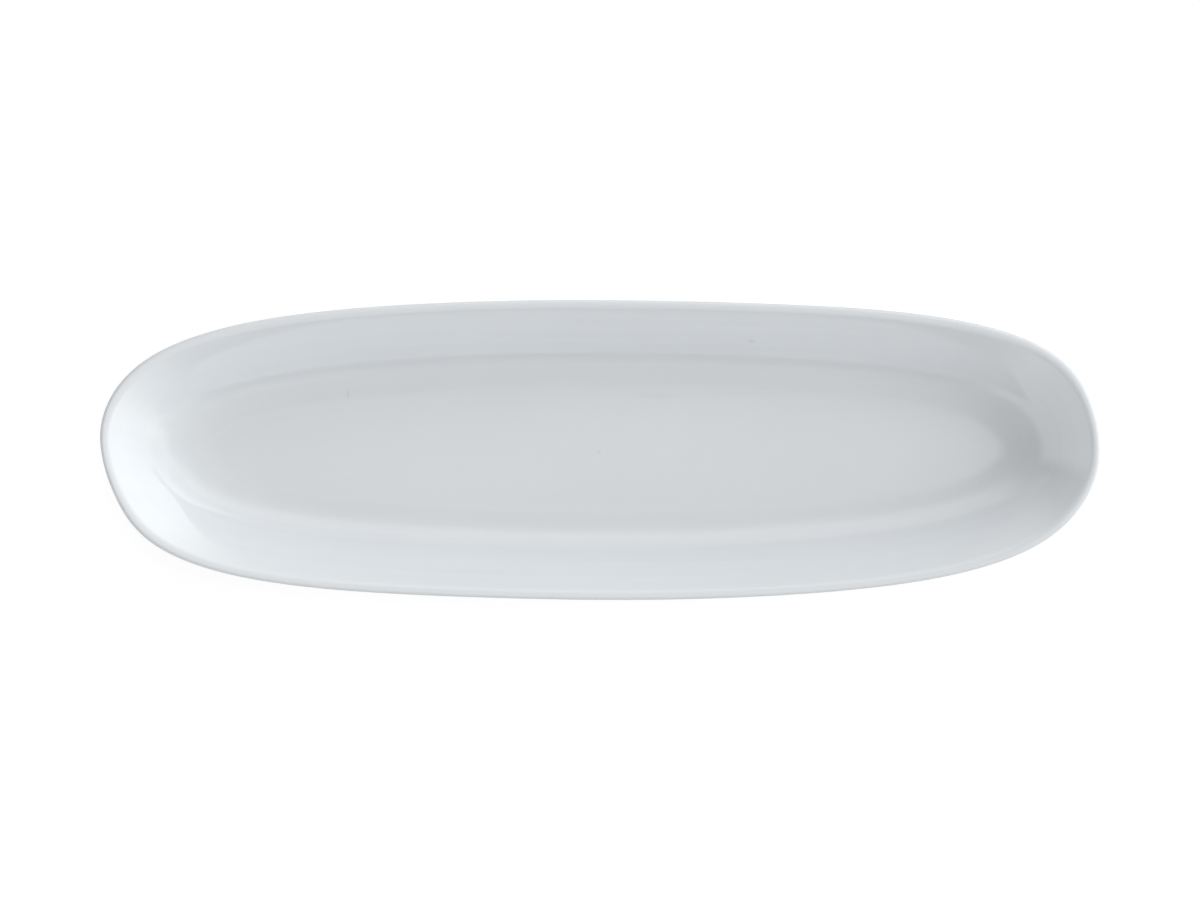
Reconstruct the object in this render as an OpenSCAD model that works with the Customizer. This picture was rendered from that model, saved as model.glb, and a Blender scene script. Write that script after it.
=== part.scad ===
// Long oval asparagus plate in glazed porcelain.
// A fired body with a flat well, a sloping wall, a rounded rim and a foot ring carries a glaze coat
// down to the foot, and a second glaze panel inside the foot ring.
// Millimetres, +Z up, length along X, standing face on z = 0, origin under the middle of the plan.

/* [Plate] */
// Overall length over the glazed rim
plate_length = 400; // [360:5:440]
// Overall width over the glazed rim
plate_width = 120; // [112:1:140]
// Height from the standing face to the crest of the glazed rim
plate_height = 33; // [30:0.5:37]

/* [Well] */
// Distance from the long sides of the rim in to the flat floor of the well
side_run = 38.5; // [36:0.5:42]
// Distance from the ends of the rim in to the flat floor of the well
end_run = 44; // [40:0.5:48]
// Radius of the hollow curve from the well floor into the wall along the long sides
side_curve = 28; // [20:1:32]
// Radius of the hollow curve from the well floor into the wall at the ends
end_curve = 38; // [28:1:42]

/* [Plan shape] */
// Squareness of the rim in plan, where 2 is an ellipse
rim_power = 2.9; // [2.4:0.1:3.2]
// Squareness of the well in plan, where 2 is an ellipse
well_power = 2.5; // [2.2:0.1:2.9]
// How far two opposite shoulders swell and the other two draw in, across the width
shoulder_swell = 0.55; // [0:0.01:0.8]
// How far the long sides draw in on either side of their middle, across the width
side_taper = 0.3; // [0:0.01:0.4]
// How far both ends lean to the same long side, across the width
end_lean = 0.62; // [0:0.01:0.7]

/* [Porcelain] */
// Thickness of the fired wall
wall_t = 3.5; // [3:0.1:4]
// Thickness of the fired floor above the foot recess
floor_t = 4.5; // [4.2:0.1:5.5]

/* [Foot ring] */
// Depth of the recess inside the foot ring
foot_h = 3; // [2.6:0.1:4]
// Distance from the long sides of the rim in to the outside of the foot ring
side_foot_in = 32; // [28:0.5:35]
// Distance from the ends of the rim in to the outside of the foot ring
end_foot_in = 37; // [33:0.5:40]
// Thickness of the foot ring
foot_w = 4; // [3:0.25:5]
// Radius of the hollow corners where the foot ring leaves the underside
foot_root = 1; // [0.6:0.1:1.1]
// Radius of the edges of the standing face
foot_edge = 0.8; // [0.5:0.1:0.9]

/* [Glaze] */
// Thickness of the fired glaze
glaze_t = 0.25; // [0.15:0.05:0.4]
// Height of the bare band left between the rounded foot edge and the glaze
bare_band = 0.6; // [0.3:0.1:0.6]

/* [Smoothness] */
// Facets round the plan
plan_facets = 96; // [48:4:96]
// Facets over each part of the rim's round
rim_facets = 3; // [2:1:4]
// Facets along each long curve between floor and wall
curve_facets = 6; // [4:1:8]

/* [Hidden] */

body_colour = [0.90, 0.89, 0.86];
glaze_colour = [0.90, 0.93, 0.95];

half_width = plate_width / 2;
wall_bands = 2;
small_facets = 2;

// Plan angles, drawn closer together round the shoulders where the rim turns fastest
shoulder_crowding = 5.5;
plan_angles = [for (i = [0 : plan_facets - 1])
    let (t = 360 * i / plan_facets)
    t + shoulder_crowding * sin(4 * t)];

// Plan curve of half length 1 and half width 1: a superellipse with its swell, taper and lean
function plan_radius(u, power) =
    pow(pow(abs(cos(u)), power) + pow(abs(sin(u)), power), -1 / power)
    * (1 - shoulder_swell / half_width * sin(2 * u) * cos(4 * u)
         + side_taper / half_width * (cos(8 * u) - 1)
         + end_lean / half_width * sin(2 * u) * cos(u));

// The rim's own reach on each axis, which sets the scale and the middle of every ring
rim_x = [for (u = plan_angles) plan_radius(u, rim_power) * cos(u)];
rim_y = [for (u = plan_angles) plan_radius(u, rim_power) * sin(u)];
unit_x = (max(rim_x) - min(rim_x)) / 2;
unit_y = (max(rim_y) - min(rim_y)) / 2;
middle_x = (max(rim_x) + min(rim_x)) / 2;
middle_y = (max(rim_y) + min(rim_y)) / 2;

// Heights of the fired body
well_z = foot_h + floor_t;
glaze_line = foot_edge + bare_band;

// Round of the rim as shares of the wall's thickness: a small nose from the crest to the outside
// and a wider blend from the crest into the wall; points and centres are [distance in, height]
nose_share = 0.3;
blend_share = 1;
rim_nose = nose_share * wall_t;
rim_blend = blend_share * wall_t;
crest = [rim_nose + glaze_t, plate_height - glaze_t];
nose_c = crest - [0, rim_nose];
blend_c = crest - [0, rim_blend];

// Share that a well curve may take of the largest one, which would leave no straight wall
curve_share = 0.95;

// Points on an arc as [distance in, height], where angle 0 points up and 90 points inwards
function arc(c, r, from, to, facets) =
    [for (i = [0 : facets])
        let (angle = from + (to - from) * i / facets)
        c + r * [sin(angle), cos(angle)]];

function without_first(list) = [for (i = [1 : len(list) - 1]) list[i]];

// Points strictly between two others
function between(p, q, bands) =
    [for (i = [1 : 1 : bands - 1]) p + (q - p) * i / bands];

// Face from the edge of the well floor over the rim and down to the glaze line on the foot,
// lifted off the fired body by the given skin; the straight wall touches the rim's blend and the
// well curve, the rim's underside is as round as the wall's thickness leaves it, and the foot's
// root touches the outer curve and the outside of the foot ring
function upper_run(skin, flat_in, curve, foot_in) =
    let (
        room = flat_in - blend_c[0],
        drop = blend_c[1] - well_z,
        largest_curve = (room * room + drop * drop - rim_blend * rim_blend) / (2 * (drop + rim_blend)),
        inner_curve = min(curve, curve_share * largest_curve),
        outer_curve = inner_curve + wall_t,
        curve_c = [flat_in, well_z + inner_curve],
        reach = curve_c - blend_c,
        wall_angle = atan2(reach[0], reach[1]) - acos((rim_blend + inner_curve) / norm(reach)),
        rise = sin(wall_angle),
        run = cos(wall_angle),
        rim_under = (wall_t - rim_blend * (1 - run) - rim_nose * (run + rise)) / (1 - rise),
        under_c = [rim_under + glaze_t, nose_c[1]],
        root_in = foot_in - foot_root,
        root_angle = asin((flat_in - root_in) / (outer_curve + foot_root)),
        root_c = [root_in, curve_c[1] - (outer_curve + foot_root) * cos(root_angle)],
        hollow = arc(curve_c, skin - inner_curve, 0, wall_angle, curve_facets),
        blend = arc(blend_c, rim_blend + skin, wall_angle, 0, rim_facets),
        nose = arc(nose_c, rim_nose + skin, 0, -90, rim_facets),
        under = arc(under_c, rim_under + skin, -90, wall_angle - 180, rim_facets),
        belly = arc(curve_c, -outer_curve - skin, wall_angle, root_angle, curve_facets),
        root = arc(root_c, foot_root - skin, root_angle, 90, small_facets))
    concat(
        hollow,
        between(hollow[curve_facets], blend[0], wall_bands),
        blend,
        without_first(nose),
        without_first(under),
        between(under[rim_facets], belly[0], wall_bands),
        belly,
        without_first(root),
        [[foot_in - skin, glaze_line]]);

// Face from the glaze line inside the foot ring up to the edge of the recess
function recess_run(skin, foot_in) =
    let (
        inner_in = foot_in + foot_w,
        root_c = [inner_in + foot_root, foot_h - foot_root])
    concat(
        [[inner_in + skin, glaze_line]],
        arc(root_c, foot_root - skin, -90, 0, small_facets));

// Bare face of the foot ring between the two glaze lines
function foot_run(foot_in) =
    concat(
        arc([foot_in + foot_edge, foot_edge], foot_edge, -90, -180, small_facets),
        arc([foot_in + foot_w - foot_edge, foot_edge], foot_edge, 180, 90, small_facets));

// The same run drawn for the long sides and for the ends, paired point by point
function paired(sides, ends) = [for (i = [0 : len(sides) - 1]) [sides[i], ends[i]]];
function upper_pairs(skin) =
    paired(
        upper_run(skin, side_run, side_curve, side_foot_in),
        upper_run(skin, end_run, end_curve, end_foot_in));
function recess_pairs(skin) = paired(recess_run(skin, side_foot_in), recess_run(skin, end_foot_in));
foot_pairs = paired(foot_run(side_foot_in), foot_run(end_foot_in));

function reversed(list) = [for (i = [len(list) - 1 : -1 : 0]) list[i]];

// Closed ring through a pair of points, one on the long sides and one on the ends
function plan_ring(pair) =
    let (
        side = pair[0],
        end = pair[1],
        share_in = min(side[0] / side_run, 1),
        power = rim_power + (well_power - rim_power) * share_in,
        half_x = (plate_length / 2 - end[0]) / unit_x,
        half_y = (half_width - side[0]) / unit_y)
    [for (u = plan_angles)
        let (r = plan_radius(u, power))
        [half_x * (r * cos(u) - middle_x),
         half_y * (r * sin(u) - middle_y),
         side[1] + (end[1] - side[1]) * pow(cos(u), 2)]];

// Two triangles over a four-cornered cell, split along its shorter diagonal
function cell(points, a, b, c, d) =
    norm(points[a] - points[c]) < norm(points[b] - points[d])
        ? [[a, b, c], [a, c, d]]
        : [[a, b, d], [b, c, d]];

// Solid of rings that follow paired runs from a flat top to a flat underside
module ring_solid(pairs) {
    last = len(pairs) - 1;
    points = concat(
        [[0, 0, pairs[0][0][1]]],
        [for (pair = pairs) each plan_ring(pair)],
        [[0, 0, pairs[last][0][1]]]);
    foot_point = len(points) - 1;
    function at(ring, i) = 1 + ring * plan_facets + i % plan_facets;
    top = [for (i = [0 : plan_facets - 1]) [0, at(0, i + 1), at(0, i)]];
    sides = [for (ring = [0 : last - 1], i = [0 : plan_facets - 1])
        each cell(points, at(ring, i), at(ring, i + 1), at(ring + 1, i + 1), at(ring + 1, i))];
    bottom = [for (i = [0 : plan_facets - 1]) [foot_point, at(last, i), at(last, i + 1)]];
    polyhedron(points = points, faces = concat(top, sides, bottom));
}

module porcelain_body() {
    color(body_colour)
        ring_solid(concat(upper_pairs(0), foot_pairs, recess_pairs(0)));
}

module glaze_coat() {
    color(glaze_colour)
        ring_solid(concat(upper_pairs(glaze_t), reversed(upper_pairs(0))));
}

module foot_recess_glaze() {
    color(glaze_colour)
        ring_solid(concat(reversed(recess_pairs(0)), recess_pairs(glaze_t)));
}

porcelain_body();
glaze_coat();
foot_recess_glaze();
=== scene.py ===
"""Looks of a long oval asparagus plate in glossy white porcelain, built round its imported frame.

Lengths are in metres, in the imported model's own frame: +X along the plate, +Z up, standing face on z = 0.
"""

import logging
import math
from dataclasses import dataclass, field, replace
from enum import Enum
from typing import Callable

import bpy
import numpy as np
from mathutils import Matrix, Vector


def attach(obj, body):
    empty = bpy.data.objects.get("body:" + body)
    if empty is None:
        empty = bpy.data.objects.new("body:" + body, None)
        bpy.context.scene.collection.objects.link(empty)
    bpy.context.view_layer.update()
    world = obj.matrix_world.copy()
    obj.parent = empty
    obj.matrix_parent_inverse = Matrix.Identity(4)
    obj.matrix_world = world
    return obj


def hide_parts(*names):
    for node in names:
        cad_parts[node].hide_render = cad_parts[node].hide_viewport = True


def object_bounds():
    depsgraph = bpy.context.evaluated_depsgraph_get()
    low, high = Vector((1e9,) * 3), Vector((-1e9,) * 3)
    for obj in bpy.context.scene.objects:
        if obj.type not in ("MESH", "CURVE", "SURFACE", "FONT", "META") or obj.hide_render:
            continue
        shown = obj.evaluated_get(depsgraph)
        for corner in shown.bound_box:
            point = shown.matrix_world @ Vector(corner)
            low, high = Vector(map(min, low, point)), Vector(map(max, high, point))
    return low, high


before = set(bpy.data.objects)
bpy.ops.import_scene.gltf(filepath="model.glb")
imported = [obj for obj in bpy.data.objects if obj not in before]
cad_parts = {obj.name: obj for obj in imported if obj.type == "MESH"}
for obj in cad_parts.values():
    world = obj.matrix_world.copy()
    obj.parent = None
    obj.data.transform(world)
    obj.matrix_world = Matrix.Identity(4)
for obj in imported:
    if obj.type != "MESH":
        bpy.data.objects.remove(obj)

CAD_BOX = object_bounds()
LOG = logging.getLogger("asparagus_plate")

MM = 0.001
QUARTER = math.pi / 2.0
LEAST_LENGTH = 1e-12
NOISE_MEAN = 0.5
ROOT_BODY = "root"
POOL_ATTRIBUTE = "glaze_depth"
RIDE_ATTRIBUTE = "profile_ride"
WEAR_ATTRIBUTE = "foot_wear"

Colour = tuple[float, float, float]


class Node(str, Enum):
    """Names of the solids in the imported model."""

    BODY = "porcelain_body"
    COAT = "glaze_coat"
    RECESS = "foot_recess_glaze"


class Slot(str, Enum):
    """Names of the record's material slots."""

    BISCUIT = "biscuit_porcelain"
    GLAZE = "white_glaze"


@dataclass(frozen=True)
class PlanCurve:
    """Outline of the plate seen from above, as a superellipse with a swell, a taper and a lean.

    The three shape terms are lengths across the half width, so they are divided by it before use.
    """

    half_width: float
    rim_power: float = 2.9
    well_power: float = 2.5
    shoulder_swell: float = 0.55 * MM
    side_taper: float = 0.30 * MM
    end_lean: float = 0.62 * MM
    facets: int = 384
    shoulder_crowding: float = math.radians(5.5)

    def angles(self) -> np.ndarray:
        """Plan angles, drawn closer together round the shoulders where the rim turns fastest."""
        t = np.linspace(0.0, 2.0 * np.pi, self.facets, endpoint=False)
        return t + self.shoulder_crowding * np.sin(4.0 * t)

    def radius(self, u: np.ndarray, power: np.ndarray | float) -> np.ndarray:
        """Radius of the unit plan curve.

        The superellipse radius (|cos u|^p + |sin u|^p)^(-1/p), times one plus the shoulder swell along
        -sin 2u cos 4u, the side taper along cos 8u - 1 and the end lean along sin 2u cos u.

        Args:
            u: Plan angles in radians.
            power: Squareness of the superellipse, a number or an array that broadcasts with u.

        Returns:
            Radii in the shape that u and power broadcast to.
        """
        base = (np.abs(np.cos(u)) ** power + np.abs(np.sin(u)) ** power) ** (-1.0 / power)
        swell = -self.shoulder_swell / self.half_width * np.sin(2.0 * u) * np.cos(4.0 * u)
        taper = self.side_taper / self.half_width * (np.cos(8.0 * u) - 1.0)
        lean = self.end_lean / self.half_width * np.sin(2.0 * u) * np.cos(u)
        return base * (1.0 + swell + taper + lean)


@dataclass(frozen=True)
class RunDetail:
    """How many steps each stretch of the profile is drawn with."""

    floor: int = 16
    hollow: int = 30
    wall: int = 20
    rim: int = 10
    belly: int = 24
    root: int = 8
    foot: int = 6


HIDDEN_DETAIL = RunDetail(floor=4, hollow=12, wall=2, rim=4, belly=10, root=3, foot=6)


@dataclass(frozen=True)
class Ware:
    """Thicknesses and heights that hold all round the plate."""

    height: float
    wall: float = 3.5 * MM
    floor: float = 4.5 * MM
    foot_height: float = 3.0 * MM
    foot_width: float = 4.0 * MM
    foot_root: float = 1.0 * MM
    foot_edge: float = 0.8 * MM
    glaze: float = 0.25 * MM
    bare_band: float = 0.6 * MM
    nose_share: float = 0.3
    blend_share: float = 1.0

    @property
    def well_z(self) -> float:
        """Height of the fired well floor."""
        return self.foot_height + self.floor

    @property
    def glaze_line(self) -> float:
        """Height at which the glaze stops on the foot ring."""
        return self.foot_edge + self.bare_band

    @property
    def rim_nose(self) -> float:
        """Radius of the fired rim from its crest to the outside, set by the wall's thickness."""
        return self.nose_share * self.wall

    @property
    def rim_blend(self) -> float:
        """Radius of the fired rim from its crest into the wall, set by the wall's thickness."""
        return self.blend_share * self.wall

    @property
    def crest(self) -> np.ndarray:
        """Highest point of the fired rim as (distance in, height)."""
        return np.array([self.rim_nose + self.glaze, self.height - self.glaze])


@dataclass
class Section:
    """Profile of the plate at one place of its rim.

    A profile point is (distance in from the rim, height).
    """

    ware: Ware
    flat_in: float
    curve: float
    foot_in: float
    detail: RunDetail = field(default_factory=RunDetail)

    def __post_init__(self) -> None:
        """Works out the centres and angles that the runs share."""
        ware = self.ware
        self.foot_inner_in = self.foot_in + ware.foot_width
        self.outer_curve = self.curve + ware.wall
        self.curve_centre = np.array([self.flat_in, ware.well_z + self.curve])
        self.blend_centre = ware.crest - np.array([0.0, ware.rim_blend])
        reach = self.curve_centre - self.blend_centre
        touching = (ware.rim_blend + self.curve) / np.hypot(*reach)
        self.wall_angle = math.atan2(reach[0], reach[1]) - math.acos(touching)
        rise, run = math.sin(self.wall_angle), math.cos(self.wall_angle)
        spare = ware.wall - ware.rim_blend * (1.0 - run) - ware.rim_nose * (run + rise)
        self.rim_under = spare / (1.0 - rise)
        self.nose_centre = ware.crest - np.array([0.0, ware.rim_nose])
        self.under_centre = np.array([ware.glaze + self.rim_under, self.nose_centre[1]])
        root_in = self.foot_in - ware.foot_root
        root_reach = self.outer_curve + ware.foot_root
        self.root_angle = math.asin((self.flat_in - root_in) / root_reach)
        self.root_centre = np.array(
            [root_in, self.curve_centre[1] - root_reach * math.cos(self.root_angle)]
        )

    @staticmethod
    def arc(centre: np.ndarray, radius: float, start: float, end: float, steps: int) -> np.ndarray:
        """Arc of profile points: the centre plus the radius times (sin angle, cos angle).

        Args:
            centre: Centre of the arc as (distance in, height).
            radius: Radius, negative to draw the opposite side of the circle.
            start: First angle in radians, where 0 points up and a right angle points inwards.
            end: Last angle in radians.
            steps: Number of steps along the arc.

        Returns:
            Array of shape (steps + 1, 2).
        """
        angle = np.linspace(start, end, steps + 1)
        return centre + radius * np.stack([np.sin(angle), np.cos(angle)], axis=1)

    @staticmethod
    def between(first: np.ndarray, last: np.ndarray, steps: int) -> np.ndarray:
        """Evenly spaced points strictly between two profile points."""
        share = np.linspace(0.0, 1.0, steps + 1)[1:-1, None]
        return first + (last - first) * share

    def upper_run(self, skin: float) -> np.ndarray:
        """Profile from the edge of the well floor over the rim and down the outside to the foot's root.

        Arcs and straight stretches that touch: well curve, wall, the rim's blend, nose and underside,
        outer wall, outer curve, root.

        Args:
            skin: How far the face is lifted off the fired body.

        Returns:
            Array of profile points, from the well outwards.
        """
        d = self.detail
        ware = self.ware
        hollow = self.arc(self.curve_centre, skin - self.curve, 0.0, self.wall_angle, d.hollow)
        blend = self.arc(self.blend_centre, ware.rim_blend + skin, self.wall_angle, 0.0, d.rim)
        nose = self.arc(self.nose_centre, ware.rim_nose + skin, 0.0, -QUARTER, d.rim)
        under = self.arc(
            self.under_centre, self.rim_under + skin, -QUARTER, self.wall_angle - math.pi, d.rim
        )
        belly = self.arc(
            self.curve_centre, -self.outer_curve - skin, self.wall_angle, self.root_angle, d.belly
        )
        root = self.arc(self.root_centre, ware.foot_root - skin, self.root_angle, QUARTER, d.root)
        return np.concatenate([
            hollow,
            self.between(hollow[-1], blend[0], d.wall),
            blend,
            nose[1:],
            under[1:],
            self.between(under[-1], belly[0], d.wall),
            belly,
            root[1:],
        ])

    def hidden_run(self) -> np.ndarray:
        """Profile of the fired face under the glaze, from the foot back to the well, in fewer steps."""
        return replace(self, detail=HIDDEN_DETAIL).upper_run(0.0)[::-1]

    def rolled_edge(self, middle_in: float) -> np.ndarray:
        """Half round in which the glaze ends at the glaze line.

        Args:
            middle_in: Distance in from the rim of the middle of the glaze's thickness.

        Returns:
            Array of profile points, from the inner side of the round to the outer.
        """
        middle = np.array([middle_in, self.ware.glaze_line])
        return self.arc(middle, -self.ware.glaze / 2.0, QUARTER, -QUARTER, self.detail.foot)

    def coat_run(self) -> np.ndarray:
        """Profile of the glazed face from the well to the rolled edge at the glaze line."""
        roll = self.rolled_edge(self.foot_in - self.ware.glaze / 2.0)
        return np.concatenate([self.upper_run(self.ware.glaze), roll])

    def foot_run(self) -> np.ndarray:
        """Profile of the bare foot ring: down its outside, across the standing face and up its inside.

        Returns:
            Array of profile points between the two glaze lines.
        """
        d = self.detail
        edge = self.ware.foot_edge
        line = self.ware.glaze_line
        outer = self.arc(np.array([self.foot_in + edge, edge]), edge, -QUARTER, -math.pi, d.foot)
        inner = self.arc(np.array([self.foot_inner_in - edge, edge]), edge, math.pi, QUARTER, d.foot)
        return np.concatenate([
            [[self.foot_in, line]],
            outer,
            self.between(outer[-1], inner[0], d.foot),
            inner,
            [[self.foot_inner_in, line]],
        ])

    def recess_run(self, skin: float) -> np.ndarray:
        """Profile of the hollow corner from the inside of the foot ring to the edge of the recess.

        Args:
            skin: How far the face is lifted off the fired body.

        Returns:
            Array of profile points, from the foot ring inwards.
        """
        root = self.ware.foot_root
        centre = np.array([self.foot_inner_in + root, self.ware.foot_height - root])
        return self.arc(centre, root - skin, -QUARTER, 0.0, self.detail.root)

    def body_run(self) -> np.ndarray:
        """Profile of the whole fired body, from the well over the rim and the foot to the recess."""
        return np.concatenate([self.upper_run(0.0), self.foot_run(), self.recess_run(0.0)])

    def panel_run(self) -> np.ndarray:
        """Profile of the recess glaze: along the fired recess, round its edge and back along its face."""
        roll = self.rolled_edge(self.foot_inner_in + self.ware.glaze / 2.0)
        return np.concatenate([self.recess_run(0.0)[::-1], roll, self.recess_run(self.ware.glaze)])


@dataclass
class PlateForm:
    """Overall shape of the plate: its plan, and its profiles at the long sides and at the ends."""

    length: float
    width: float
    height: float

    def __post_init__(self) -> None:
        """Draws up the plan and the two profiles."""
        self.ware = Ware(self.height)
        self.plan = PlanCurve(half_width=self.width / 2.0)
        self.side = Section(self.ware, flat_in=38.5 * MM, curve=28.0 * MM, foot_in=32.0 * MM)
        self.end = Section(self.ware, flat_in=44.0 * MM, curve=38.0 * MM, foot_in=37.0 * MM)

    def sweep(self, run: Callable[[Section], np.ndarray]) -> np.ndarray:
        """Carries a profile round the plan.

        A point's ring is the unit plan curve times the half width less the side profile's distance in, and
        times the half length less the end profile's. Its height goes from the side's to the end's with the
        square of cos u, and the curve's squareness falls from the rim to the flat floor.

        Args:
            run: Draws the wanted profile points of a section, shape (rows, 2).

        Returns:
            Grid of points, shape (rows, facets, 3).
        """
        u = self.plan.angles()[None, :]
        rim = self.plan.radius(u, self.plan.rim_power)
        spans = [rim * np.cos(u), rim * np.sin(u)]
        unit = [(s.max() - s.min()) / 2.0 for s in spans]
        middle = [(s.max() + s.min()) / 2.0 for s in spans]
        across, along = run(self.side), run(self.end)
        blend = np.clip(across[:, :1] / self.side.flat_in, 0.0, 1.0)
        power = self.plan.rim_power + (self.plan.well_power - self.plan.rim_power) * blend
        radius = self.plan.radius(u, power)
        half_x = (self.length / 2.0 - along[:, :1]) / unit[0]
        half_y = (self.width / 2.0 - across[:, :1]) / unit[1]
        x = half_x * (radius * np.cos(u) - middle[0])
        y = half_y * (radius * np.sin(u) - middle[1])
        z = across[:, 1:] + (along[:, 1:] - across[:, 1:]) * np.cos(u) ** 2
        return np.stack([x, y, z], axis=2)

    @staticmethod
    def disc(ring: np.ndarray, steps: int) -> np.ndarray:
        """Rings that shrink from an edge ring towards the middle of a flat, without the edge or the middle.

        Args:
            ring: Edge ring, shape (facets, 3).
            steps: Number of steps from the edge to the middle.

        Returns:
            Grid from the innermost ring outwards, shape (steps - 1, facets, 3).
        """
        share = np.linspace(0.0, 1.0, steps + 1)[1:-1, None, None]
        middle = np.array([0.0, 0.0, ring[0, 2]])
        return middle + (ring[None] - middle) * share

    def capped(self, run: Callable[[Section], np.ndarray]) -> np.ndarray:
        """Carries a profile round the plan and closes both its ends with a flat of shrinking rings.

        Args:
            run: Draws the wanted profile points of a section, shape (rows, 2).

        Returns:
            Grid of points, shape (rows, facets, 3).
        """
        shell = self.sweep(run)
        steps = self.side.detail.foot
        return np.concatenate([self.disc(shell[0], steps), shell, self.disc(shell[-1], steps)[::-1]])


def grid_normals(grid: np.ndarray) -> np.ndarray:
    """Unit normals of a grid that closes on itself along its second axis.

    The cross product of the step along the columns and the step along the rows, at each grid point.

    Args:
        grid: Points, shape (rows, columns, 3).

    Returns:
        Outward unit normals in the same shape.
    """
    along = np.gradient(grid, axis=0)
    around = np.roll(grid, -1, axis=1) - np.roll(grid, 1, axis=1)
    normal = np.cross(along, around)
    return normal / np.maximum(np.linalg.norm(normal, axis=2, keepdims=True), LEAST_LENGTH)


def closed_mesh(name: str, grid: np.ndarray) -> bpy.types.Object:
    """Makes a closed mesh of rings that follow each other, with a point in the middle of each end.

    Args:
        name: Name of the new object and its mesh.
        grid: Rings from the first end to the last, shape (rows, columns, 3).

    Returns:
        Object at the origin, linked to the scene, with smooth faces.
    """
    rows, columns, _ = grid.shape
    first = np.array([[0.0, 0.0, grid[0, 0, 2]]])
    last = np.array([[0.0, 0.0, grid[-1, 0, 2]]])
    points = np.concatenate([first, grid.reshape(-1, 3), last])
    ring = 1 + np.arange(rows * columns).reshape(rows, columns)
    after = np.roll(ring, -1, axis=1)
    quads = np.stack([ring[:-1], ring[1:], after[1:], after[:-1]], axis=2).reshape(-1, 4)
    top = np.stack([np.zeros(columns, int), ring[0], after[0]], axis=1)
    bottom = np.stack([np.full(columns, len(points) - 1), after[-1], ring[-1]], axis=1)
    mesh = bpy.data.meshes.new(name)
    mesh.from_pydata(points.tolist(), [], top.tolist() + quads.tolist() + bottom.tolist())
    mesh.polygons.foreach_set("use_smooth", np.ones(len(mesh.polygons), bool))
    mesh.update()
    piece = bpy.data.objects.new(name, mesh)
    bpy.context.scene.collection.objects.link(piece)
    return piece


def paint(piece: bpy.types.Object, name: str, grid_values: np.ndarray) -> None:
    """Stores one number per point of a closed ring mesh; each end's point takes its ring's mean.

    Args:
        piece: Object made by closed_mesh.
        name: Name of the point attribute.
        grid_values: Values, shape (rows, columns).
    """
    values = np.concatenate([[grid_values[0].mean()], grid_values.ravel(), [grid_values[-1].mean()]])
    attribute = piece.data.attributes.new(name, "FLOAT", "POINT")
    attribute.data.foreach_set("value", values.astype(np.float32))


class NodeSketch:
    """Shorthand for laying out a material's or the world's nodes."""

    def __init__(self, tree: bpy.types.NodeTree) -> None:
        """Clears the tree and keeps it."""
        self.tree = tree
        tree.nodes.clear()

    def add(self, kind: str, inputs: dict | None = None, **settings: object) -> bpy.types.Node:
        """Adds a node.

        Args:
            kind: Blender's node type name.
            inputs: Socket name or number to a constant, or to another node's output socket.
            settings: Attributes of the node itself.

        Returns:
            The new node.
        """
        node = self.tree.nodes.new(kind)
        for key, value in settings.items():
            setattr(node, key, value)
        for key, value in (inputs or {}).items():
            if isinstance(value, bpy.types.NodeSocket):
                self.tree.links.new(value, node.inputs[key])
            else:
                node.inputs[key].default_value = value
        return node

    def math(
        self, operation: str, first: object, second: object = 0.0, third: object = 0.0
    ) -> bpy.types.NodeSocket:
        """Output of a math node over two or three numbers or sockets."""
        return self.add("ShaderNodeMath", {0: first, 1: second, 2: third}, operation=operation).outputs[0]

    def rescale(
        self, value: bpy.types.NodeSocket, source: tuple, target: tuple = (0.0, 1.0), kind: str = "LINEAR"
    ) -> bpy.types.NodeSocket:
        """Carries a number from one range to another.

        Args:
            value: Number to carry over.
            source: Ends of the range that it comes from.
            target: Ends of the range that it goes to.
            kind: Blender's name for the way between the ends.

        Returns:
            Socket with the number in the new range.
        """
        node = self.add("ShaderNodeMapRange", {
            "Value": value,
            "From Min": source[0], "From Max": source[1],
            "To Min": target[0], "To Max": target[1],
        }, interpolation_type=kind)
        return node.outputs["Result"]

    def fade(self, value: bpy.types.NodeSocket, start: float, end: float) -> bpy.types.NodeSocket:
        """Smooth rise from 0 to 1 as the value goes from start to end."""
        return self.rescale(value, (start, end), kind="SMOOTHSTEP")

    def tinted(
        self, share: bpy.types.NodeSocket, base: bpy.types.NodeSocket, tint: Colour
    ) -> bpy.types.NodeSocket:
        """Colour that goes from a base to a plain tint as the share goes from 0 to 1."""
        inputs = {0: share, 6: base, 7: (*tint, 1.0)}
        return self.add("ShaderNodeMix", inputs, data_type="RGBA", blend_type="MIX").outputs[2]

    def surface(
        self,
        colour: bpy.types.NodeSocket,
        roughness: bpy.types.NodeSocket,
        relief: bpy.types.Node,
        ior: float,
    ) -> None:
        """Ends a material with its shader and output.

        Args:
            colour: Base colour.
            roughness: Roughness.
            relief: Bump node.
            ior: Index of refraction.
        """
        shader = self.add("ShaderNodeBsdfPrincipled", {
            "Base Color": colour,
            "Roughness": roughness,
            "Normal": relief.outputs["Normal"],
            "IOR": ior,
        })
        self.add("ShaderNodeOutputMaterial", {"Surface": shader.outputs["BSDF"]})

    def ramp(self, value: bpy.types.NodeSocket, stops: list[tuple[float, Colour]]) -> bpy.types.NodeSocket:
        """Colour ramp over a number.

        Args:
            value: Number that picks the colour.
            stops: Places and colours, from the lowest place to the highest.

        Returns:
            Socket with the colour.
        """
        node = self.add("ShaderNodeValToRGB", {"Fac": value})
        elements = node.color_ramp.elements
        elements[0].position, elements[0].color = stops[0][0], (*stops[0][1], 1.0)
        elements[1].position, elements[1].color = stops[-1][0], (*stops[-1][1], 1.0)
        for place, colour in stops[1:-1]:
            elements.new(place).color = (*colour, 1.0)
        return node.outputs["Color"]


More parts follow.
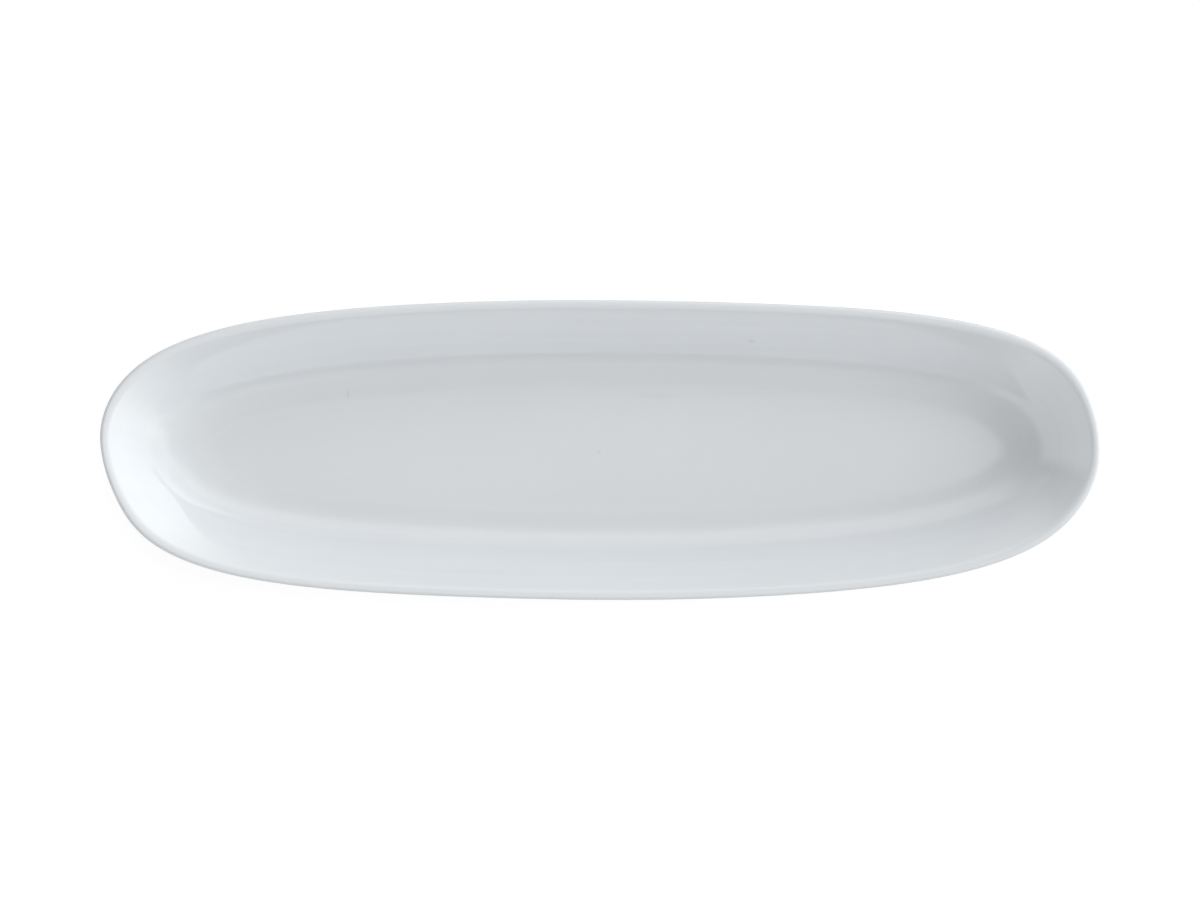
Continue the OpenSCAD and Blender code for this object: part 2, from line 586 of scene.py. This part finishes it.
def new_material(name: str) -> tuple[bpy.types.Material, NodeSketch]:
    """Makes an empty node material.

    Args:
        name: Name of the material.

    Returns:
        The material, and the sketch that fills it.
    """
    material = bpy.data.materials.new(name)
    material.use_nodes = True
    return material, NodeSketch(material.node_tree)


@dataclass(frozen=True)
class NoiseField:
    """Noise over Object coordinates that are first scaled along each axis."""

    scale: float
    detail: float
    stretch: tuple = (1.0, 1.0, 1.0)

    def draw(self, sketch: NodeSketch) -> bpy.types.NodeSocket:
        """Lays out the noise.

        Args:
            sketch: Node tree of the material.

        Returns:
            Socket with the noise, about 0.5 on average.
        """
        place = sketch.add("ShaderNodeTexCoord").outputs["Object"]
        mapped = sketch.add("ShaderNodeMapping", {"Vector": place, "Scale": self.stretch}).outputs["Vector"]
        inputs = {"Vector": mapped, "Scale": self.scale, "Detail": self.detail}
        return sketch.add("ShaderNodeTexNoise", inputs).outputs["Fac"]


@dataclass(frozen=True)
class Fleck:
    """Small dull mark in the glaze, as a soft-edged oval placed in millimetres on the plate."""

    name: str
    centre: tuple
    half_length: float
    half_width: float
    turn: float
    strength: float
    half_depth: float = 2.5
    full_share: float = 0.2

    def mask(self, sketch: NodeSketch) -> bpy.types.NodeSocket:
        """Strength of the mark over Object coordinates, fading out from its middle to its edge.

        Args:
            sketch: Node tree of the material.

        Returns:
            Socket with the strength.
        """
        sizes = (self.half_length, self.half_width, self.half_depth)
        place = sketch.add("ShaderNodeTexCoord").outputs["Object"]
        own = sketch.add("ShaderNodeMapping", {
            "Vector": place,
            "Location": tuple(length * MM for length in self.centre),
            "Rotation": (0.0, 0.0, math.radians(self.turn)),
            "Scale": tuple(length * MM for length in sizes),
        }, vector_type="TEXTURE", label=self.name).outputs["Vector"]
        reach = sketch.add("ShaderNodeVectorMath", {0: own}, operation="LENGTH").outputs["Value"]
        return sketch.math("MULTIPLY", sketch.fade(reach, 1.0, self.full_share), self.strength)


@dataclass(frozen=True)
class GlazeFinish:
    """Cool white gloss glaze: pools in hollows, thins on the rim, with turning lines and a few flecks."""

    name: str = "white_glaze"
    thin_tint: Colour = (0.779, 0.811, 0.837)
    tint: Colour = (0.770, 0.802, 0.828)
    deep_tint: Colour = (0.756, 0.788, 0.814)
    tint_places: tuple = (0.1, 0.5, 0.9)
    fleck_tint: Colour = (0.42, 0.41, 0.38)
    ior: float = 1.52
    clouds: NoiseField = NoiseField(scale=22.0, detail=3.0)
    pool_weight: float = 0.4
    haze: NoiseField = NoiseField(scale=60.0, detail=4.0, stretch=(1.0, 4.0, 4.0))
    haze_range: tuple = (0.3, 0.7)
    roughness_range: tuple = (0.02, 0.05)
    ripple: NoiseField = NoiseField(scale=90.0, detail=1.0, stretch=(0.35, 1.0, 1.0))
    relief_strength: float = 0.08
    relief_depth: float = 0.08 * MM
    line_spacing: float = 2.2 * MM
    line_length: float = 130.0 * MM
    line_detail: float = 2.0
    line_weight: float = 1.2
    line_relief: float = 0.5
    flecks: tuple = (
        Fleck("wall_fleck", (61.0, 44.2, 19.5), 2.4, 1.3, turn=-20.0, strength=0.23),
        Fleck("floor_tick", (-102.2, 23.0, 8.0), 2.9, 0.8, turn=76.0, strength=0.16),
        Fleck("floor_pinhole", (-0.4, -0.8, 7.75), 1.2, 1.0, turn=0.0, strength=0.14),
        Fleck("floor_rub", (24.0, 21.8, 7.8), 14.0, 1.6, turn=-3.0, strength=0.07),
    )

    def material(self) -> bpy.types.Material:
        """Builds the node material.

        The tint follows the pooled depth, slow clouds and the turning lines. The flecks dull it, a haze
        changes its gloss a little, and the lines and a ripple give it relief.

        Returns:
            The new material.
        """
        material, sketch = new_material(self.name)
        depth = sketch.add("ShaderNodeAttribute", attribute_name=POOL_ATTRIBUTE).outputs["Fac"]
        lines = self.turning_lines(sketch)
        level = sketch.math("MULTIPLY_ADD", depth, self.pool_weight, self.clouds.draw(sketch))
        swing = sketch.math("SUBTRACT", lines, NOISE_MEAN)
        level = sketch.math("MULTIPLY_ADD", swing, self.line_weight, level)
        tints = (self.thin_tint, self.tint, self.deep_tint)
        body = sketch.ramp(level, list(zip(self.tint_places, tints)))
        dull = self.flecks[0].mask(sketch)
        for fleck in self.flecks[1:]:
            dull = sketch.math("ADD", dull, fleck.mask(sketch))
        roughness = sketch.rescale(self.haze.draw(sketch), self.haze_range, self.roughness_range)
        height = sketch.math("MULTIPLY_ADD", lines, self.line_relief, self.ripple.draw(sketch))
        relief = sketch.add("ShaderNodeBump", {
            "Height": height,
            "Strength": self.relief_strength,
            "Distance": self.relief_depth,
        })
        sketch.surface(sketch.tinted(dull, body, self.fleck_tint), roughness, relief, self.ior)
        return material

    def turning_lines(self, sketch: NodeSketch) -> bpy.types.NodeSocket:
        """Noise that changes quickly up the wall's profile and slowly along it, as a turned mould leaves it.

        Args:
            sketch: Node tree of the material.

        Returns:
            Socket with the noise, about 0.5 on average.
        """
        place = sketch.add("ShaderNodeTexCoord").outputs["Object"]
        x, y, _ = sketch.add("ShaderNodeSeparateXYZ", {"Vector": place}).outputs
        ride = sketch.add("ShaderNodeAttribute", attribute_name=RIDE_ATTRIBUTE).outputs["Fac"]
        along = 1.0 / self.line_length
        turned = sketch.add("ShaderNodeCombineXYZ", {
            "X": sketch.math("MULTIPLY", x, along),
            "Y": sketch.math("MULTIPLY", y, along),
            "Z": sketch.math("DIVIDE", ride, self.line_spacing),
        }).outputs["Vector"]
        inputs = {"Vector": turned, "Scale": 1.0, "Detail": self.line_detail}
        return sketch.add("ShaderNodeTexNoise", inputs).outputs["Fac"]


@dataclass(frozen=True)
class BiscuitFinish:
    """Bare fired porcelain: matt, finely grained, rubbed a little grey where it stands."""

    name: str = "biscuit_porcelain"
    pale_tint: Colour = (0.80, 0.79, 0.76)
    warm_tint: Colour = (0.73, 0.71, 0.66)
    tint_places: tuple = (0.3, 0.7)
    rubbed_tint: Colour = (0.60, 0.59, 0.57)
    ior: float = 1.45
    patches: NoiseField = NoiseField(scale=120.0, detail=5.0)
    grain: NoiseField = NoiseField(scale=2600.0, detail=2.0)
    bare_roughness: float = 0.85
    rubbed_roughness: float = 0.62
    relief_strength: float = 0.5
    relief_depth: float = 0.05 * MM

    def material(self) -> bpy.types.Material:
        """Builds the node material.

        Returns:
            The new material.
        """
        material, sketch = new_material(self.name)
        wear = sketch.add("ShaderNodeAttribute", attribute_name=WEAR_ATTRIBUTE).outputs["Fac"]
        patches = self.patches.draw(sketch)
        base = sketch.ramp(patches, list(zip(self.tint_places, (self.warm_tint, self.pale_tint))))
        rub = sketch.math("MULTIPLY", wear, patches)
        roughness = sketch.rescale(wear, (0.0, 1.0), (self.bare_roughness, self.rubbed_roughness))
        relief = sketch.add("ShaderNodeBump", {
            "Height": self.grain.draw(sketch),
            "Strength": self.relief_strength,
            "Distance": self.relief_depth,
        })
        sketch.surface(sketch.tinted(rub, base, self.rubbed_tint), roughness, relief, self.ior)
        return material


@dataclass(frozen=True)
class GroundFinish:
    """White studio ground that still takes the plate's shadow."""

    name: str = "studio_ground"
    paint: Colour = (0.42, 0.42, 0.42)
    seen_glow: float = 0.75

    def material(self) -> bpy.types.Material:
        """Builds the node material: plain pale paint, lifted to white where it is seen or mirrored.

        Returns:
            The new material.
        """
        material, sketch = new_material(self.name)
        paint_shader = sketch.add("ShaderNodeBsdfDiffuse", {"Color": (*self.paint, 1.0)})
        rays = sketch.add("ShaderNodeLightPath").outputs
        seen = sketch.math("MAXIMUM", rays["Is Camera Ray"], rays["Is Glossy Ray"])
        seen = sketch.math("MAXIMUM", seen, rays["Is Transmission Ray"])
        strength = sketch.math("MULTIPLY", seen, self.seen_glow)
        glow = sketch.add("ShaderNodeEmission", {"Color": (1.0, 1.0, 1.0, 1.0), "Strength": strength})
        both = sketch.add("ShaderNodeAddShader", {0: paint_shader.outputs[0], 1: glow.outputs[0]})
        sketch.add("ShaderNodeOutputMaterial", {"Surface": both.outputs[0]})
        return material


@dataclass
class PorcelainBody:
    """The fired casting: well, wall, rim and foot ring in one closed surface."""

    form: PlateForm
    name: str = "fired_body"

    def build(self) -> bpy.types.Object:
        """Sweeps the whole profile from the well's middle over the rim and round the foot to the recess.

        Returns:
            The body's object, with the foot's wear painted on it.
        """
        grid = self.form.capped(Section.body_run)
        piece = closed_mesh(self.name, grid)
        wear = np.exp(-((grid[:, :, 2] / self.form.ware.foot_edge) ** 2))
        paint(piece, WEAR_ATTRIBUTE, wear)
        return piece

    def dress(self, piece: bpy.types.Object, finish: BiscuitFinish) -> None:
        """Gives the body its finish and its place in the frame.

        Args:
            piece: The body's object.
            finish: Finish of the bare porcelain.
        """
        piece.data.materials.append(finish.material())
        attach(piece, ROOT_BODY)
        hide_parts(Node.BODY.value)


@dataclass
class GlazeCoat:
    """The glaze over the well, the wall, the rim and the outside, down to the foot ring."""

    form: PlateForm
    name: str = "outer_glaze"
    wave_height: float = 0.03 * MM
    wave_lengths: tuple = (0.115, 0.047, 0.071)
    wave_ways: tuple = ((1.0, 0.0, 0.0), (0.0, 1.0, 0.8), (1.0, 2.0, -1.0))
    wave_phases: tuple = (1.3, 0.4, 2.1)
    line_wander: float = 0.12 * MM
    wander_counts: tuple = (5.0, 11.0, 23.0)
    wander_phases: tuple = (0.7, 2.0, 0.0)
    pool_rise: float = 2.0 * MM
    pool_spread: float = 2.5 * MM
    crest_spread: float = 0.8 * MM

    def waves(self, grid: np.ndarray) -> np.ndarray:
        """Slow unevenness of the glaze face: the mean of three sine waves that cross the plate.

        Args:
            grid: Points of the face, shape (rows, columns, 3).

        Returns:
            Heights off the even face, shape (rows, columns).
        """
        turns = 2.0 * np.pi * (grid @ np.array(self.wave_ways).T) / np.array(self.wave_lengths)
        return self.wave_height * np.sin(turns + np.array(self.wave_phases)).mean(axis=2)

    def glaze_line(self) -> np.ndarray:
        """Wander of the glaze's edge round the foot: the mean of three sine waves over the plan angle."""
        turns = self.form.plan.angles()[:, None] * np.array(self.wander_counts)
        return self.line_wander * np.sin(turns + np.array(self.wander_phases)).mean(axis=1)

    def build(self) -> bpy.types.Object:
        """Sweeps the glazed face outwards, turns in at the glaze line and returns along the fired body.

        Returns:
            The coat's object, with the glaze depth and the length along the profile painted on it.
        """
        form = self.form
        face = form.sweep(Section.coat_run)
        face[-form.side.detail.foot - 1:, :, 2] += self.glaze_line()
        floor = form.disc(face[0], form.side.detail.floor)
        face = np.concatenate([floor, face])
        face = face + grid_normals(face) * self.waves(face)[:, :, None]
        grid = np.concatenate([face, form.sweep(Section.hidden_run)])
        piece = closed_mesh(self.name, grid)
        paint(piece, POOL_ATTRIBUTE, self.depth(grid))
        paint(piece, RIDE_ATTRIBUTE, self.ride(len(floor), grid))
        return piece

    def ride(self, floor_rows: int, grid: np.ndarray) -> np.ndarray:
        """Length along the side profile from the edge of the well floor outwards.

        The running sum of the distances between the profile's points, the same all round each ring; zero on
        the floor and on the hidden back.

        Args:
            floor_rows: Number of rings on the flat floor.
            grid: Points of the coat, shape (rows, columns, 3).

        Returns:
            Lengths in metres, shape (rows, columns).
        """
        steps = np.linalg.norm(np.diff(self.form.side.coat_run(), axis=0), axis=1)
        lengths = np.zeros(len(grid))
        lengths[floor_rows + 1:floor_rows + 1 + len(steps)] = np.cumsum(steps)
        return np.repeat(lengths[:, None], grid.shape[1], axis=1)

    def depth(self, grid: np.ndarray) -> np.ndarray:
        """Relative glaze depth: more in the hollow round the well, less on the crest of the rim.

        One bell curve over height round the middle of the well curve, less another round the rim's crest.

        Args:
            grid: Points of the coat, shape (rows, columns, 3).

        Returns:
            Numbers from about -1 to 1, shape (rows, columns).
        """
        form = self.form
        z = grid[:, :, 2]
        hollow_z = form.ware.well_z + self.pool_rise
        pool = np.exp(-(((z - hollow_z) / self.pool_spread) ** 2))
        crest = np.exp(-(((z - form.height) / self.crest_spread) ** 2))
        return pool - crest

    def dress(self, piece: bpy.types.Object, material: bpy.types.Material) -> None:
        """Gives the coat its finish and its place in the frame.

        Args:
            piece: The coat's object.
            material: Material of the glaze.
        """
        piece.data.materials.append(material)
        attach(piece, ROOT_BODY)
        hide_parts(Node.COAT.value)


@dataclass
class RecessGlaze:
    """The glaze panel inside the foot ring."""

    form: PlateForm
    name: str = "recess_glaze"

    def build(self) -> bpy.types.Object:
        """Sweeps the fired recess outwards to the glaze line and returns along the glazed face.

        Returns:
            The panel's object, with an even glaze depth and no length along the profile painted on it.
        """
        grid = self.form.capped(Section.panel_run)
        piece = closed_mesh(self.name, grid)
        paint(piece, POOL_ATTRIBUTE, np.zeros(grid.shape[:2]))
        paint(piece, RIDE_ATTRIBUTE, np.zeros(grid.shape[:2]))
        return piece

    def dress(self, piece: bpy.types.Object, material: bpy.types.Material) -> None:
        """Gives the panel its finish and its place in the frame.

        Args:
            piece: The panel's object.
            material: Material of the glaze.
        """
        piece.data.materials.append(material)
        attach(piece, ROOT_BODY)
        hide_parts(Node.RECESS.value)


@dataclass(frozen=True)
class RoomWay:
    """Direction into the room: its level part as a unit vector, and the sine of its elevation."""

    east: bpy.types.NodeSocket
    north: bpy.types.NodeSocket
    rise: bpy.types.NodeSocket


@dataclass(frozen=True)
class LightPanel:
    """Soft-edged bright stretch of the studio's walls or ceiling, in degrees of bearing and elevation."""

    name: str
    bearing: float
    spread: float
    low: float
    high: float
    glow: float
    edge: float = 6.0
    side_edge: float = 12.0

    @staticmethod
    def cosine(degrees: float) -> float:
        """Cosine of an angle in degrees."""
        return math.cos(math.radians(degrees))

    @staticmethod
    def sine(degrees: float) -> float:
        """Sine of an angle in degrees."""
        return math.sin(math.radians(degrees))

    def level(self, sketch: NodeSketch, way: RoomWay) -> bpy.types.NodeSocket:
        """Light of the panel in each direction.

        The glow times three smooth rises: one across the side edges over the cosine of the turn from the
        bearing, one across the lower edge and one down across the upper edge over the sine of the elevation.
        A panel that goes all round has no sides, and one that reaches overhead has no upper edge.

        Args:
            sketch: Node tree of the room.
            way: Direction looked in.

        Returns:
            Socket with the panel's light.
        """
        shape = sketch.fade(way.rise, self.sine(self.low - self.edge), self.sine(self.low + self.edge))
        if self.high < 90.0:
            top = sketch.fade(way.rise, self.sine(self.high + self.edge), self.sine(self.high - self.edge))
            shape = sketch.math("MULTIPLY", shape, top)
        if self.spread < 180.0:
            north = sketch.math("MULTIPLY", way.north, self.sine(self.bearing))
            turn = sketch.math("MULTIPLY_ADD", way.east, self.cosine(self.bearing), north)
            outer, inner = min(self.spread + self.side_edge, 180.0), self.spread - self.side_edge
            sides = sketch.fade(turn, self.cosine(outer), self.cosine(inner))
            shape = sketch.math("MULTIPLY", shape, sides)
        inputs = {0: shape, 1: self.glow}
        return sketch.add("ShaderNodeMath", inputs, operation="MULTIPLY", label=self.name).outputs[0]


@dataclass
class Studio:
    """Camera straight above, white ground, and a room of soft light panels with one low softbox."""

    form: PlateForm
    photo_width_px: float = 1200.0
    plate_length_px: float = 1000.5
    lens_mm: float = 120.0
    sensor_mm: float = 36.0
    ground_half: float = 12.0
    panels: tuple = (
        LightPanel("zenith", 0.0, 180.0, 74.0, 90.0, glow=1.26, edge=7.0, side_edge=1.0),
        LightPanel("ceiling", 0.0, 105.0, 28.0, 74.0, glow=0.85, edge=8.0, side_edge=25.0),
        LightPanel("front_ceiling", -90.0, 60.0, 22.0, 70.0, glow=0.22, edge=6.0, side_edge=20.0),
        LightPanel("right_wall", 17.0, 57.0, 0.0, 17.0, glow=1.34, edge=6.0, side_edge=14.0),
        LightPanel("right_window", 4.0, 28.0, 16.0, 35.0, glow=1.50, edge=6.0, side_edge=12.0),
        LightPanel("back_wall", 79.0, 42.0, 2.0, 42.0, glow=1.42, edge=9.0, side_edge=18.0),
        LightPanel("left_wall", -152.0, 44.0, 0.0, 23.0, glow=1.58, edge=6.0, side_edge=12.0),
        LightPanel("front_corner", -36.0, 28.0, 0.0, 27.0, glow=1.10, edge=6.0, side_edge=12.0),
    )
    strip_distance: float = 3.0
    strip_bearing: float = math.radians(20.5)
    strip_spread: float = math.radians(47.0)
    strip_low: float = math.radians(3.0)
    strip_high: float = math.radians(10.0)
    strip_glow: float = 0.5

    def camera(self) -> bpy.types.Object:
        """Sets a camera over the plate so that its length takes the photograph's share of the frame.

        Returns:
            The camera's object.
        """
        seen_width = self.form.length * self.photo_width_px / self.plate_length_px
        distance = seen_width * self.lens_mm / self.sensor_mm
        data = bpy.data.cameras.new("overhead_camera")
        data.lens = self.lens_mm
        data.sensor_width = self.sensor_mm
        data.sensor_fit = "HORIZONTAL"
        camera = bpy.data.objects.new("overhead_camera", data)
        camera.location = (0.0, 0.0, self.form.ware.crest[1] + distance)
        bpy.context.scene.collection.objects.link(camera)
        bpy.context.scene.camera = camera
        return camera

    def ground(self, finish: GroundFinish) -> bpy.types.Object:
        """Lays the studio ground under the standing face.

        Args:
            finish: Finish of the ground.

        Returns:
            The ground's object.
        """
        half = self.ground_half
        mesh = bpy.data.meshes.new("studio_ground")
        corners = [(-half, -half, 0.0), (half, -half, 0.0), (half, half, 0.0), (-half, half, 0.0)]
        mesh.from_pydata(corners, [], [(0, 1, 2, 3)])
        ground = bpy.data.objects.new("studio_ground", mesh)
        ground.data.materials.append(finish.material())
        bpy.context.scene.collection.objects.link(ground)
        return ground

    def strip(self) -> bpy.types.Object:
        """Stands a low, wide softbox on the right, turned to the plate, which brightens the left wall.

        Returns:
            The lamp's object.
        """
        low = self.strip_distance * math.tan(self.strip_low)
        high = self.strip_distance * math.tan(self.strip_high)
        middle = (low + high) / 2.0
        data = bpy.data.lights.new("right_strip", "AREA")
        data.shape = "RECTANGLE"
        data.size = 2.0 * self.strip_distance * math.tan(self.strip_spread / 2.0)
        data.size_y = high - low
        data.energy = self.strip_glow * math.pi * data.size * data.size_y
        lamp = bpy.data.objects.new("right_strip", data)
        bearing = self.strip_bearing
        lamp.location = (
            self.strip_distance * math.cos(bearing),
            self.strip_distance * math.sin(bearing),
            middle,
        )
        lean = QUARTER - math.atan2(middle, self.strip_distance)
        lamp.rotation_euler = (lean, 0.0, bearing + QUARTER)
        lamp.visible_camera = False
        bpy.context.scene.collection.objects.link(lamp)
        return lamp

    def room(self) -> None:
        """Lights the room with the sum of its soft panels."""
        world = bpy.data.worlds.new("studio_room")
        world.use_nodes = True
        bpy.context.scene.world = world
        sketch = NodeSketch(world.node_tree)
        direction = sketch.add("ShaderNodeTexCoord").outputs["Generated"]
        x, y, z = sketch.add("ShaderNodeSeparateXYZ", {"Vector": direction}).outputs
        reach = sketch.math("SQRT", sketch.math("MULTIPLY_ADD", x, x, sketch.math("MULTIPLY", y, y)))
        way = RoomWay(sketch.math("DIVIDE", x, reach), sketch.math("DIVIDE", y, reach), z)
        level = self.panels[0].level(sketch, way)
        for panel in self.panels[1:]:
            level = sketch.math("ADD", level, panel.level(sketch, way))
        light = sketch.add("ShaderNodeBackground", {"Color": (1.0, 1.0, 1.0, 1.0), "Strength": level})
        sketch.add("ShaderNodeOutputWorld", {"Surface": light.outputs[0]})


def main() -> None:
    """Builds the studio and the plate's pieces in order."""
    bpy.context.scene.view_settings.view_transform = "Standard"
    low, high = (np.array(corner) for corner in CAD_BOX)
    form = PlateForm(*(high - low))
    studio = Studio(form)
    studio.camera()
    studio.ground(GroundFinish())
    studio.strip()
    studio.room()
    glaze = GlazeFinish().material()
    body = PorcelainBody(form)
    fired = body.build()
    body.dress(fired, BiscuitFinish())
    coat = GlazeCoat(form)
    coated = coat.build()
    coat.dress(coated, glaze)
    recess = RecessGlaze(form)
    panel = recess.build()
    recess.dress(panel, glaze)
    for piece in (fired, coated, panel):
        LOG.info("%s: %d faces", piece.name, len(piece.data.polygons))


if __name__ == "__main__":
    logging.basicConfig(level=logging.INFO, format="%(name)s: %(message)s")
    main()
